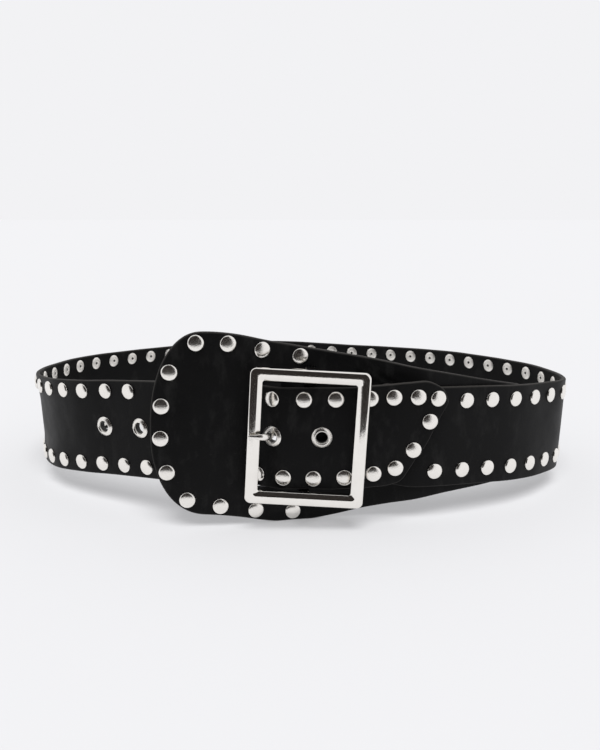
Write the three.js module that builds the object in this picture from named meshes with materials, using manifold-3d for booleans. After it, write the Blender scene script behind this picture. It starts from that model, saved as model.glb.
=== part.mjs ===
// Studded leather belt with a square buckle over a shield-shaped panel, fastened and standing on its edges.
// Millimetres, +Z up, +X to the right and +Y to the back of the standing belt, origin at the middle of its foot.
import * as THREE from "three";
import { mergeVertices } from "three/addons/utils/BufferGeometryUtils.js";
import Module from "manifold-3d";

const wasm = await Module();
wasm.setup();

// Leather
const strapWidth = 50;
const leather = 2.5;
const skived = 1.7; // the strap's end, pared thin where it folds round the buckle's centre bar
const chapeWidth = 30;
const chapeBack = 15; // length of the folded end behind the centre bar
const gap = 0.3;
const backGap = 0.6; // between the leather and a rivet's back cap
const foldRoom = 2; // between the centre bar's edge and the folded strap

// The loop as it stands
const loopWidth = 290.5;
const loopDepth = 225.8;
const frontLift = 19.4;

// Studs and their rows
const studPitch = 15.215;
const capRadius = 4;
const capHeight = 2;
const backCapRadius = 2.9;
const backCapHeight = 0.8;
const shankRadius = 1.2;
const lowPitch = 15.115; // the lower edge runs a little shorter round the loop
const highInset = 5.5;
const highInsetRight = 7;
const lowInset = 5.9;
const lowInsetRight = 8.0;
const rowStagger = 5.4; // how far the lower row is behind the upper one at the left
const tipClear = 6; // between the last stud of the upper row and the tail's tip
const tipLowRoom = 10; // how far the lower row runs on below the slanted tip
const studSides = 10;
const eyeletSides = 10;

// Eyelets
const eyeletBore = 2.7;
const eyeletWall = 0.6;
const eyeletFlange = 5;
const eyeletBackFlange = 4.3;
const flangeThickness = 0.5;
const eyeletPitch = 23.6;
const eyeletPlacesAlong = [-1, 0, 3, 4]; // in pitches from the prong's; the two between are left plain
const prongEyelet = 84.6; // from the tail's end to the eyelet that the prong is in
const eyeletHeight = 25.9;

// Panel
const panelHeight = 96;
const panelLength = 188;
const panelLeft = 75.3; // from the buckle's middle to the panel's left end, along the panel
const panelCornerLength = 25;
const panelCornerPower = 2.2;
const panelStudInset = 4.9;
const panelStudTopEnd = 75.5; // how far from the panel's left end its studs stop at the top
const panelStudBottomEnd = 70.6;
const slotLeft = 27.2; // the slot's sides, from the buckle's middle
const slotRight = 12.4;
const slotMargin = 0.6; // above and below the strap

// Buckle
const buckleX = 5.65; // from the loop's middle
const buckleWidth = 56;
const buckleHeight = 65.5;
const barWidth = 6;
const barDepth = 5;
const barBevel = 0.9;
const frameCorner = 3;
const windowCorner = 1;
const centreBarWidth = 5;
const centreBarDepth = 2.5;
const buckleTurn = 3.2; // degrees, left side up
const buckleRise = 1.2; // of the buckle's middle above the row of eyelets

// Prong
const prongWidth = 3.4;
const prongThickness = 2;
const prongLoopWall = 1;
const prongDrop = 1.6; // below the buckle's middle

// The standing loop, from behind the panel round the left, back and right to where the panel begins.
// x and y are shares of half the loop's width and depth, lift a share of the front's lift, lean in degrees.
const loopRows = [
  { x: -0.437, y: -0.913, lift: 1.0, lean: 0 },
  { x: -0.616, y: -0.774, lift: 0.86, lean: 1.5 },
  { x: -0.791, y: -0.629, lift: 0.69, lean: 2.5 },
  { x: -0.93, y: -0.428, lift: 0.5, lean: 2.5 },
  { x: -0.997, y: -0.175, lift: 0.37, lean: 2.5 },
  { x: -0.953, y: 0.221, lift: 0.23, lean: 1.5 },
  { x: -0.789, y: 0.563, lift: 0.1, lean: 0.5 },
  { x: -0.558, y: 0.834, lift: 0.01, lean: -1 },
  { x: -0.27, y: 0.988, lift: 0, lean: -1.3 },
  { x: -0.062, y: 0.989, lift: 0, lean: -0.6 },
  { x: 0.234, y: 0.862, lift: 0, lean: 0.3 },
  { x: 0.503, y: 0.654, lift: 0.12, lean: 0.2 },
  { x: 0.741, y: 0.391, lift: 0.23, lean: 0.2 },
  { x: 0.937, y: 0.075, lift: 0.29, lean: 0.6 },
  { x: 1.005, y: -0.179, lift: 0.34, lean: 1.6 },
  { x: 0.986, y: -0.444, lift: 0.47, lean: 2.2 },
  { x: 0.868, y: -0.655, lift: 0.62, lean: 0 },
];

// The panel's middle surface seen from above, from its free left end to beyond its right end.
const panelPlan = [
  { x: -0.56, y: -1.053 },
  { x: -0.397, y: -1.047 },
  { x: -0.273, y: -1.029 },
  { x: -0.156, y: -0.999 },
  { x: -0.039, y: -0.949 },
  { x: 0.071, y: -0.925 },
  { x: 0.188, y: -0.924 },
  { x: 0.305, y: -0.933 },
  { x: 0.402, y: -0.941 },
  { x: 0.498, y: -0.907 },
  { x: 0.594, y: -0.857 },
  { x: 0.691, y: -0.795 },
  { x: 0.78, y: -0.723 },
  { x: 0.856, y: -0.636 },
];

// The panel's upper and lower edges as shares of its length and height.
const panelOutline = [
  { along: 0, top: 0.985, bottom: 0.085 },
  { along: 0.1437, top: 1.0, bottom: 0.068 },
  { along: 0.2156, top: 0.985, bottom: 0.048 },
  { along: 0.3182, top: 0.936, bottom: 0.002 },
  { along: 0.3388, top: 0.928, bottom: 0 },
  { along: 0.4106, top: 0.9, bottom: 0 },
  { along: 0.4722, top: 0.878, bottom: 0.022 },
  { along: 0.5646, top: 0.848, bottom: 0.067 },
  { along: 0.7443, top: 0.775, bottom: 0.127 },
  { along: 0.8983, top: 0.705, bottom: 0.145 },
  { along: 1, top: 0.661, bottom: 0.156 },
];

// Where the tail dives from the buckle's window through the panel's slot: left as a share of half the
// buckle's width, deep as a share of the way from the window's level to the strap behind the panel.
const tailDive = [
  { left: 0.3, deep: 0 },
  { left: 0.4, deep: 0.002 },
  { left: 0.455, deep: 0.024 },
  { left: 0.53, deep: 0.12 },
  { left: 0.604, deep: 0.222 },
  { left: 0.68, deep: 0.326 },
  { left: 0.755, deep: 0.435 },
  { left: 0.83, deep: 0.565 },
  { left: 0.914, deep: 0.715 },
  { left: 1.046, deep: 0.88 },
  { left: 1.296, deep: 0.99 },
];

// The tail's tip: back from its end, lower and upper edge, all as shares of the strap's width.
const tailTip = [
  { back: 0, low: 0.79, high: 0.88 },
  { back: 0.044, low: 0.745, high: 0.95 },
  { back: 0.126, low: 0.6, high: 1.01 },
  { back: 0.216, low: 0.42, high: 1.045 },
  { back: 0.314, low: 0.284, high: 1.045 },
  { back: 0.384, low: 0.176, high: 1.04 },
  { back: 0.448, low: 0.086, high: 1.038 },
  { back: 0.56, low: 0.04, high: 1.03 },
  { back: 0.744, low: 0.02, high: 1.02 },
  { back: 0.95, low: 0.008, high: 1.003 },
  { back: 1.1, low: 0, high: 1 },
];

// The tail's studs, back from its end and up from its lower edge, as shares of the strap's width:
// the upper row from the tip on, the lower row, and the two on the slant between them.
const tailStuds = [
  { back: 0.114, up: 0.874 },
  { back: 0.308, up: 0.896 },
  { back: 0.544, up: 0.902 },
  { back: 0.768, up: 0.897 },
  { back: 1.09, up: 0.888 },
  { back: 1.389, up: 0.886 },
  { back: 1.69, up: 0.884 },
  { back: 0.518, up: 0.208 },
  { back: 0.728, up: 0.16 },
  { back: 1.004, up: 0.122 },
  { back: 1.3, up: 0.113 },
  { back: 1.586, up: 0.122 },
  { back: 1.85, up: 0.122 },
  { back: 0.19, up: 0.654 },
  { back: 0.344, up: 0.38 },
];

// The panel's studs, from its upper right round its free edge: where each sits, in even steps of the walk
const panelStudSteps = [0, 1.115, 2.075, 2.94, 4.05, 5.02, 5.94, 6.93, 7.92, 8.875, 9.885, 11];

// The prong's middle line: left of the buckle's middle as a share of half its width, deep as a share of
// the depth from the tail in the window to the panel, thick as a share of the prong's thickness and
// rise as a share of its width.
const prongRows = [
  { left: 0.03, deep: 0.338, thick: 0.45, rise: 0 },
  { left: 0.115, deep: 0.338, thick: 0.5, rise: 0 },
  { left: 0.2, deep: 0.338, thick: 0.95, rise: 0 },
  { left: 0.33, deep: 0.39, thick: 1, rise: 0 },
  { left: 0.44, deep: 0.495, thick: 1, rise: 0 },
  { left: 0.515, deep: 0.505, thick: 1, rise: 0 },
  { left: 0.561, deep: 0.385, thick: 1, rise: 0 },
  { left: 0.604, deep: 0.19, thick: 1, rise: 0 },
  { left: 0.66, deep: -0.08, thick: 1, rise: 0 },
  { left: 0.698, deep: -0.4, thick: 0.95, rise: 0 },
  { left: 0.722, deep: -0.66, thick: 0.92, rise: 0.06 },
  { left: 0.752, deep: -0.86, thick: 0.88, rise: 0.2 },
  { left: 0.796, deep: -0.965, thick: 0.72, rise: 0.36 },
  { left: 0.855, deep: -0.975, thick: 0.55, rise: 0.5 },
  { left: 0.92, deep: -0.955, thick: 0.45, rise: 0.6 },
  { left: 0.98, deep: -0.94, thick: 0.4, rise: 0.66 },
];

// The strap on the panel at the front right: along as a share of the panel's length from the buckle.
const rightRows = [
  { along: 0.5749, lift: 0.72 },
  { along: 0.4928, lift: 0.8 },
  { along: 0.4106, lift: 0.86 },
  { along: 0.3388, lift: 0.9 },
  { along: 0.2669, lift: 0.93 },
];

const halfWidth = loopWidth / 2;
const halfDepth = loopDepth / 2;
const half = leather / 2;
const buckleLift = frontLift + eyeletHeight + buckleRise;

// Distances of the stacked layers from the panel's middle surface, outwards
const onPanel = leather + gap;
const chapeUnder = half + gap + skived / 2;
const centreBarLevel = half + gap + skived + backGap + centreBarDepth / 2;
const chapeOver = centreBarLevel + centreBarDepth / 2 + backGap + skived / 2;
const windowLevel = chapeOver + skived / 2 + gap + flangeThickness + backGap + half;
const onStrap = onPanel + half + gap + backCapHeight + backGap + half;
const behindPanel = -(half + backGap + backCapHeight + gap + capHeight + half + leather);

// Solids

function toSolid(geometry) {
  const bare = geometry.clone();
  bare.deleteAttribute("normal");
  bare.deleteAttribute("uv");
  const merged = mergeVertices(bare, 1e-4);
  return new wasm.Manifold(
    new wasm.Mesh({
      numProp: 3,
      vertProperties: new Float32Array(merged.attributes.position.array),
      triVerts: new Uint32Array(merged.index.array),
    }),
  );
}

function toGeometry(solid) {
  const mesh = solid.getMesh();
  const geometry = new THREE.BufferGeometry();
  geometry.setAttribute("position", new THREE.BufferAttribute(mesh.vertProperties, 3));
  geometry.setIndex(new THREE.BufferAttribute(mesh.triVerts, 1));
  geometry.computeVertexNormals();
  return geometry;
}

// A closed skin over rings of points, each ring clockwise seen from the first ring towards the last.
function loft(rings) {
  const sides = rings[0].length;
  const position = rings.flat().flatMap((point) => point.toArray());
  const index = [];
  for (let ring = 0; ring + 1 < rings.length; ring++) {
    for (let side = 0; side < sides; side++) {
      const a = ring * sides + side;
      const b = ring * sides + ((side + 1) % sides);
      index.push(a, b, b + sides, a, b + sides, a + sides);
    }
  }
  const last = (rings.length - 1) * sides;
  for (let side = 1; side + 1 < sides; side++) {
    index.push(0, side + 1, side, last, last + side, last + side + 1);
  }
  const geometry = new THREE.BufferGeometry();
  geometry.setAttribute("position", new THREE.Float32BufferAttribute(position, 3));
  geometry.setIndex(index);
  return geometry;
}

function lathe(profile, sides) {
  const points = profile.map(([radius, height]) => new THREE.Vector2(radius, height));
  return new THREE.LatheGeometry(points, sides).rotateX(Math.PI / 2);
}

// A smooth function through one column of a table.
function smooth(rows, key, column, keyScale = 1, scale = 1) {
  const keys = rows.map((row) => row[key] * keyScale);
  const values = rows.map((row) => row[column] * scale);
  const curve = new THREE.CubicInterpolant(keys, values, 1);
  return (at) => curve.evaluate(THREE.MathUtils.clamp(at, keys[0], keys[keys.length - 1]))[0];
}

// A smooth plan line whose points carry a height, with places on it by distance from its start.
function planLine(points) {
  const curve = new THREE.CatmullRomCurve3(points, false, "centripetal");
  curve.arcLengthDivisions = 4000;
  const length = curve.getLength();
  const place = (distance) => {
    const u = THREE.MathUtils.clamp(distance / length, 0, 1);
    const at = curve.getPointAt(u);
    const way = curve.getTangentAt(u).setZ(0).normalize();
    return { at, out: new THREE.Vector3(-way.y, way.x, 0) };
  };
  const nearest = (x, y) => {
    const steps = 4000;
    let best = 0;
    let least = Infinity;
    for (let step = 0; step <= steps; step++) {
      const point = curve.getPointAt(step / steps);
      const away = Math.hypot(point.x - x, point.y - y);
      if (away < least) {
        least = away;
        best = (step / steps) * length;
      }
    }
    return best;
  };
  return { length, place, nearest };
}

// Panel

const panelLine = planLine(
  [...panelPlan].reverse().map((row) => new THREE.Vector3(row.x * halfWidth, row.y * halfDepth, 0)),
);
const buckleOnPanel = panelLine.nearest(buckleX, -halfDepth * 0.94);

// A place on the panel's middle surface, right of the buckle's middle by along, out from it by level.
function panelPlace(along, level = 0) {
  const { at, out } = panelLine.place(buckleOnPanel - along);
  return { at: at.clone().addScaledVector(out, level), out };
}

const panelTop = smooth(panelOutline, "along", "top", panelLength, panelHeight);
const panelBottom = smooth(panelOutline, "along", "bottom", panelLength, panelHeight);
const panelWaist = panelHeight * 0.49;

// The panel's edges at a distance from its left end, with its round left corners.
function panelEdges(fromLeft) {
  const into = THREE.MathUtils.clamp(1 - fromLeft / panelCornerLength, 0, 1);
  const open = Math.pow(1 - Math.pow(into, panelCornerPower), 1 / panelCornerPower);
  const rise = (panelTop(fromLeft) - panelWaist) * open;
  const fall = (panelWaist - Math.max(0, panelBottom(fromLeft))) * open;
  return { top: panelWaist + rise, bottom: panelWaist - fall };
}

function ribbonRing(place, bottom, top, thickness, lean = 0) {
  const slope = Math.tan(THREE.MathUtils.degToRad(lean));
  const corner = (side, height) =>
    place.at
      .clone()
      .setZ(bottom + height)
      .addScaledVector(place.out, (side * thickness) / 2 + height * slope);
  const tall = top - bottom;
  return [corner(1, 0), corner(1, tall), corner(-1, tall), corner(-1, 0)];
}

// Distances of the panel's facets from its left end, close round the corners.
function panelStations() {
  const list = [];
  const cornerSteps = 7;
  const steps = 16;
  for (let step = 0; step < cornerSteps; step++) {
    const turn = ((step + 0.6) / cornerSteps) * (Math.PI / 2);
    list.push(panelCornerLength * (1 - Math.cos(turn)));
  }
  for (let step = 0; step <= steps; step++) {
    list.push(THREE.MathUtils.lerp(panelCornerLength, panelLength, step / steps));
  }
  return list;
}

const panelFacets = panelStations();
const panelPlaceAt = (fromLeft) => panelPlace(fromLeft - panelLeft);

function panelSolid() {
  const rings = panelFacets.map((fromLeft) => {
    const edges = panelEdges(fromLeft);
    return ribbonRing(panelPlaceAt(fromLeft), edges.bottom, edges.top, leather);
  });
  return toSolid(loft(rings.reverse()));
}

// Strap

const buckleY = panelPlace(0).at.y;
const tailY = buckleY - windowLevel;
const halfBuckle = buckleWidth / 2;
const behindY = panelPlace(-1.2 * halfBuckle, behindPanel).at.y;
const tailReach = 2.35; // how far right of the buckle's middle the tail ends, in half buckle widths

function panelPoint(along, level, lift = frontLift) {
  return panelPlace(along, level).at.setZ(lift);
}

function strapPoints() {
  const points = [];
  const reach = halfBuckle;
  for (const right of [tailReach, 2.1, 1.85]) {
    points.push(panelPoint(right * reach, onStrap));
  }
  points.push(panelPoint(1.5 * reach, THREE.MathUtils.lerp(onStrap, windowLevel, 0.6)));
  for (const right of [1.05, 0.6, 0.2, -0.1]) {
    points.push(new THREE.Vector3(buckleX + right * reach, tailY, frontLift));
  }
  for (const row of tailDive) {
    const y = THREE.MathUtils.lerp(tailY, behindY, row.deep);
    points.push(new THREE.Vector3(buckleX - row.left * reach, y, frontLift));
  }
  const joinX = -0.356 * halfWidth;
  points.push(new THREE.Vector3(joinX, -0.95 * halfDepth, frontLift));
  for (const row of loopRows) {
    points.push(new THREE.Vector3(row.x * halfWidth, row.y * halfDepth, row.lift * frontLift));
  }
  for (const row of rightRows) {
    points.push(panelPoint(row.along * panelLength, onPanel, row.lift * frontLift));
  }
  points.push(panelPoint(1.4 * reach, onPanel));
  points.push(panelPoint(0.75 * reach, (onPanel + chapeOver) / 2));
  points.push(panelPoint(0.32 * reach, chapeOver));
  points.push(panelPoint(0.05 * centreBarWidth, chapeOver));
  const foldRadius = (chapeOver - chapeUnder) / 2;
  const foldSteps = 6;
  for (let step = 0; step <= foldSteps; step++) {
    const turn = (step / foldSteps) * Math.PI;
    const along = -centreBarWidth / 2 - foldRoom - (skived / 2) * Math.sin(turn);
    points.push(panelPoint(along, centreBarLevel + foldRadius * Math.cos(turn)));
  }
  points.push(panelPoint(chapeBack * 0.4, chapeUnder));
  points.push(panelPoint(chapeBack - centreBarWidth / 2, chapeUnder));
  return points;
}

const strapLine = planLine(strapPoints());
const loopRight = loopRows[loopRows.length - 1];
const loopStart = strapLine.nearest(loopRows[0].x * halfWidth, loopRows[0].y * halfDepth);
const loopEnd = strapLine.nearest(loopRight.x * halfWidth, loopRight.y * halfDepth);
const rowStart = strapLine.nearest(-0.5591 * halfWidth, -0.8158 * halfDepth);
const tailRowEnd = Math.max(...tailStuds.map((stud) => stud.back)) * strapWidth;
const foldEdge = panelPlace(-centreBarWidth / 2 - foldRoom - skived / 2, centreBarLevel).at;
const foldMiddle = strapLine.nearest(foldEdge.x, foldEdge.y);
const foldHalf = (chapeOver - chapeUnder) * 0.9;
const panelEnd = panelPlace(panelLength - panelLeft, onPanel).at;
const seamStart = strapLine.nearest(panelEnd.x, panelEnd.y);
const underTip = panelPlace(tailReach * halfBuckle, onPanel).at;
const tipOnLoop = strapLine.nearest(underTip.x, underTip.y);
const leanStops = loopRows.map((row) => ({
  at: strapLine.nearest(row.x * halfWidth, row.y * halfDepth),
  lean: row.lean,
}));
const loopLean = smooth(leanStops, "at", "lean");
const tipLow = smooth(tailTip, "back", "low", strapWidth, strapWidth);
const tipHigh = smooth(tailTip, "back", "high", strapWidth, strapWidth);

// How far the strap has narrowed towards its folded end, from 0 to 1.
function narrowing(distance) {
  const fullUntil = strapLine.length - chapeBack - 1.75 * halfBuckle;
  return THREE.MathUtils.smoothstep(distance, fullUntil, fullUntil + strapWidth / 4);
}

function strapSection(distance) {
  const place = strapLine.place(distance);
  const lift = Math.max(0, place.at.z);
  const pared = narrowing(distance);
  const inset = (pared * (strapWidth - chapeWidth)) / 2;
  return {
    place,
    bottom: lift + Math.max(0, tipLow(distance)) + inset,
    top: lift + tipHigh(distance) - inset,
    thickness: THREE.MathUtils.lerp(leather, skived, pared),
    lean: loopLean(distance),
    lift,
  };
}

// Distances of the band's straight facets: close at the tip, the dive and the fold, one a stud elsewhere.
function strapStations() {
  const stations = [];
  const spread = (from, to, steps) => {
    for (let step = 0; step < steps; step++) {
      stations.push(THREE.MathUtils.lerp(from, to, step / steps));
    }
  };
  const tipLength = strapWidth * 0.8;
  const tipSteps = 9;
  for (let step = 0; step < tipSteps; step++) {
    stations.push(tipLength * Math.pow(step / tipSteps, 1.25));
  }
  const bend = strapLine.nearest(buckleX - 0.38 * halfBuckle, tailY);
  const diveEnd = tailRowEnd + strapWidth * 0.7;
  spread(tipLength, bend, 3);
  spread(bend, bend + leather * 3, 5);
  spread(bend + leather * 3, diveEnd, 6);
  const betweenStuds = rowStart + (rowStagger - studPitch) / 2;
  const loopSteps = Math.floor((seamStart - studPitch - betweenStuds) / studPitch);
  spread(diveEnd, betweenStuds, 1);
  spread(betweenStuds, betweenStuds + loopSteps * studPitch, loopSteps);
  const onPanelStart = betweenStuds + loopSteps * studPitch;
  spread(onPanelStart, foldMiddle - foldHalf, Math.round((foldMiddle - onPanelStart) / (studPitch / 2.5)));
  spread(foldMiddle - foldHalf, foldMiddle + foldHalf, 10);
  spread(foldMiddle + foldHalf, strapLine.length, 2);
  stations.push(strapLine.length);
  return stations;
}

const stations = strapStations();

function strapBand() {
  const rings = stations.map((at) => {
    const { place, bottom, top, thickness, lean } = strapSection(at);
    return ribbonRing(place, bottom, top, thickness, lean);
  });
  return toSolid(loft(rings));
}

// A place on the facet that a distance falls on, and that facet's own direction.
function facetPlace(distances, placeOf, distance) {
  const last = distances.length - 2;
  const next = distances.findIndex((at) => at > distance);
  const index = next < 0 ? last : THREE.MathUtils.clamp(next - 1, 0, last);
  const from = placeOf(distances[index]);
  const to = placeOf(distances[index + 1]);
  const share = (distance - distances[index]) / (distances[index + 1] - distances[index]);
  const way = to.at.clone().sub(from.at).setZ(0).normalize();
  const turned = new THREE.Vector3(-way.y, way.x, 0);
  const out = turned.dot(from.out) < 0 ? turned.negate() : turned;
  return { at: from.at.clone().lerp(to.at, share), out };
}

// A frame on the strap's outer face at a distance along it and a height above its lower edge.
function onStrapFace(distance, up) {
  const { lift, thickness, lean } = strapSection(distance);
  const place = facetPlace(stations, strapLine.place, distance);
  return faceFrame(place, lift + up, up, thickness, lean);
}

function faceFrame(place, height, up, thickness, lean) {
  const tilt = THREE.MathUtils.degToRad(lean);
  const out = place.out.clone().multiplyScalar(Math.cos(tilt)).setZ(-Math.sin(tilt));
  const at = place.at.clone().setZ(height);
  at.addScaledVector(place.out, up * Math.tan(tilt));
  at.addScaledVector(out, thickness / 2);
  const turn = new THREE.Quaternion().setFromUnitVectors(new THREE.Vector3(0, 0, 1), out);
  return new THREE.Matrix4().compose(at, turn, new THREE.Vector3(1, 1, 1));
}

// Studs

// A rivet through a stack of leather: a domed cap, a shank and a low back cap, origin on the outer face.
function rivet(stack) {
  const under = -stack - backGap;
  return lathe(
    [
      [0, under - backCapHeight],
      [backCapRadius, under],
      [shankRadius, under],
      [shankRadius, gap],
      [capRadius, gap],
      [capRadius * 0.72, gap + capHeight * 0.62],
      [0, gap + capHeight],
    ],
    studSides,
  );
}

// The cap of a stud that is one with its leather, sunk a little into the face.
function setCap() {
  return lathe(
    [
      [0, -gap],
      [capRadius * 1.06, -gap],
      [capRadius * 0.72, capHeight * 0.62],
      [0, capHeight],
    ],
    studSides,
  );
}

// Studs of the loop, by distance along the strap and height above its lower edge, as far as they are
// one with the strap (from behind the panel to where the panel backs it) or hold strap and panel together.
function loopStuds() {
  const studs = [];
  const rightShare = (at) => THREE.MathUtils.smoothstep(at, loopEnd - strapWidth * 2.2, loopEnd);
  for (let at = rowStart; at < tipOnLoop - tipClear; at += studPitch) {
    const inset = THREE.MathUtils.lerp(highInset, highInsetRight, rightShare(at));
    studs.push({ at, up: strapWidth - inset });
  }
  for (let at = rowStart + rowStagger - lowPitch; at < tipOnLoop + tipLowRoom; at += lowPitch) {
    studs.push({ at, up: THREE.MathUtils.lerp(lowInset, lowInsetRight, rightShare(at)) });
  }
  return studs;
}

const setStuds = loopStuds().filter((stud) => stud.at <= seamStart + backCapRadius);
const seamStuds = loopStuds().filter((stud) => stud.at > seamStart + backCapRadius);
const seamStack = leather + gap + leather;

// Panel studs: an even walk along a line inside the panel's free edge, from the top round to the bottom.
function panelStudPlaces() {
  const outline = [];
  const steps = 60;
  for (let step = 0; step <= steps; step++) {
    const fromLeft = panelStudTopEnd * Math.pow(1 - step / steps, 2);
    outline.push(new THREE.Vector2(fromLeft, panelEdges(fromLeft).top));
  }
  for (let step = 0; step <= steps; step++) {
    const fromLeft = panelStudBottomEnd * Math.pow(step / steps, 2);
    outline.push(new THREE.Vector2(fromLeft, panelEdges(fromLeft).bottom));
  }
  const inner = outline.slice(1, -1).map((point, i) => {
    const way = outline[i + 2].clone().sub(outline[i]).normalize();
    return new THREE.Vector3(point.x - way.y * panelStudInset, point.y + way.x * panelStudInset, 0);
  });
  const walk = new THREE.CatmullRomCurve3(inner.filter((point) => point.x > panelStudInset * 0.9));
  walk.arcLengthDivisions = 2000;
  return panelStudSteps.map((step) => walk.getPointAt(step / (panelStudSteps.length - 1)));
}

function onPanelFace(fromLeft, height) {
  return faceFrame(facetPlace(panelFacets, panelPlaceAt, fromLeft), height, 0, leather, 0);
}

// Eyelets

function eyelet() {
  const bore = eyeletBore;
  const tube = eyeletBore + eyeletWall;
  const under = -leather - backGap;
  return lathe(
    [
      [bore, under - flangeThickness],
      [eyeletBackFlange, under - flangeThickness],
      [eyeletBackFlange, under],
      [tube, under],
      [tube, gap],
      [eyeletFlange, gap],
      [eyeletFlange - flangeThickness, gap + flangeThickness],
      [bore, gap + flangeThickness],
      [bore, under - flangeThickness],
    ],
    eyeletSides,
  );
}

function hole(radius, stack, over, under) {
  return lathe([[0, -stack - under], [radius, -stack - under], [radius, over], [0, over]], studSides);
}

// Buckle: its own frame has its origin at the middle of the frame's back face, y towards the panel.

function roundedRect(path, width, height, corner) {
  const x = width / 2 - corner;
  const y = height / 2 - corner;
  path.moveTo(x + corner, -y);
  path.absarc(x, y, corner, 0, Math.PI / 2);
  path.absarc(-x, y, corner, Math.PI / 2, Math.PI);
  path.absarc(-x, -y, corner, Math.PI, 1.5 * Math.PI);
  path.absarc(x, -y, corner, 1.5 * Math.PI, 2 * Math.PI);
  return path;
}

function box(width, depth, height, x, y, z) {
  return new THREE.BoxGeometry(width, depth, height).translate(x, y, z);
}

const frameBackY = tailY - half - gap - capHeight - gap;
const centreBarY = buckleY - centreBarLevel - frameBackY;

function buckleFrame() {
  const shape = roundedRect(new THREE.Shape(), buckleWidth, buckleHeight, frameCorner);
  const windowWidth = buckleWidth - 2 * barWidth;
  const windowHeight = buckleHeight - 2 * barWidth;
  shape.holes.push(roundedRect(new THREE.Path(), windowWidth, windowHeight, windowCorner));
  const frame = new THREE.ExtrudeGeometry(shape, {
    depth: barDepth - 2 * barBevel,
    curveSegments: 2,
    bevelThickness: barBevel,
    bevelSize: barBevel,
    bevelOffset: -barBevel,
    bevelSegments: 1,
  });
  frame.translate(0, 0, barBevel).rotateX(Math.PI / 2);
  const inner = windowHeight / 2 + 4 * gap;
  const outer = buckleHeight / 2 - barBevel;
  const postY = centreBarY + centreBarDepth / 2;
  const postDepth = postY + barDepth / 2;
  let solid = toSolid(frame);
  const middle = box(centreBarWidth, centreBarDepth, outer * 2, 0, centreBarY, 0);
  solid = solid.add(toSolid(middle));
  for (const side of [-1, 1]) {
    const height = outer - inner;
    const post = box(centreBarWidth, postDepth, height, 0, postY - postDepth / 2, side * (inner + height / 2));
    solid = solid.add(toSolid(post));
  }
  return solid;
}

function prong() {
  const depth = buckleY - tailY;
  const middle = new THREE.CatmullRomCurve3(
    prongRows.map((row) => new THREE.Vector3(-row.left * halfBuckle, row.deep * depth, 0)),
    false,
    "centripetal",
  );
  const evenRows = prongRows.map((row, i) => ({ ...row, at: i / (prongRows.length - 1) }));
  const thick = smooth(evenRows, "at", "thick");
  const rise = smooth(evenRows, "at", "rise", 1, prongWidth);
  const steps = 18;
  const sides = 8;
  const rings = [];
  for (let step = 0; step <= steps; step++) {
    const t = step / steps;
    const at = middle.getPoint(t).add(new THREE.Vector3(0, tailY - frameBackY, 0));
    const way = middle.getTangent(t);
    const across = new THREE.Vector3(-way.y, way.x, 0).normalize();
    const width = (prongWidth / 2) * (0.15 + 0.85 * thick(t));
    rings.push(
      Array.from({ length: sides }, (_, side) => {
        const turn = (side / sides) * 2 * Math.PI;
        const point = at.clone().addScaledVector(across, (Math.cos(turn) * thick(t) * prongThickness) / 2);
        return point.setZ(rise(t) + Math.sin(turn) * width);
      }),
    );
  }
  const inner = new THREE.Path();
  const shape = new THREE.Shape();
  const wall = prongLoopWall;
  roundedRect(shape, centreBarWidth + 2 * (gap + wall), centreBarDepth + 2 * (gap + wall), wall);
  roundedRect(inner, centreBarWidth + 2 * gap, centreBarDepth + 2 * gap, gap);
  shape.holes.push(inner);
  const ring = new THREE.ExtrudeGeometry(shape, { depth: prongWidth, curveSegments: 2, bevelEnabled: false });
  ring.translate(0, centreBarY, -prongWidth / 2);
  return toSolid(loft(rings)).add(toSolid(ring));
}

// Cuts and assembly

function cutAll(solid, places, cutter) {
  const cut = toSolid(cutter);
  let left = solid;
  for (const place of places) {
    left = left.subtract(cut.transform(place.elements));
  }
  return left;
}

const belt = new THREE.Group();

function material(color, roughness, metalness) {
  return new THREE.MeshStandardMaterial({ color, roughness, metalness });
}

function addMesh(name, geometry, look, place = new THREE.Matrix4(), parent = belt) {
  const mesh = new THREE.Mesh(geometry, look);
  mesh.name = name;
  mesh.applyMatrix4(place);
  parent.add(mesh);
  return mesh;
}

const blackLeather = () => material(0x121212, 0.55, 0);
const nickel = () => material(0xc9c9c6, 0.18, 1);

const tailStudPlaces = tailStuds.map((row) => onStrapFace(row.back * strapWidth, row.up * strapWidth));
const seamPlaces = seamStuds.map((stud) => onStrapFace(stud.at, stud.up));
const panelPlaces = panelStudPlaces().map((point) => onPanelFace(point.x, point.y));
const eyeletPlaces = eyeletPlacesAlong.map((count) =>
  onStrapFace(prongEyelet + count * eyeletPitch, eyeletHeight),
);

function strapSolid() {
  let solid = strapBand();
  for (const stud of setStuds) {
    const place = onStrapFace(stud.at, stud.up);
    solid = solid.add(toSolid(setCap().applyMatrix4(place)));
  }
  const shank = shankRadius + gap;
  solid = cutAll(solid, [...tailStudPlaces, ...seamPlaces], hole(shank, leather, 1, backGap));
  solid = cutAll(solid, eyeletPlaces, hole(eyeletBore + eyeletWall + gap, leather, 1, backGap));
  const slotY = tailY + half + gap / 2;
  const slotWidth = halfBuckle / 2;
  const slotDepth = buckleY - slotY;
  const slot = box(slotWidth, slotDepth, prongWidth + 5 * gap, 0, slotY + slotDepth / 2, buckleLift - prongDrop);
  slot.translate(buckleX + centreBarWidth - slotWidth / 2, 0, 0);
  return solid.subtract(toSolid(slot));
}

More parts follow.
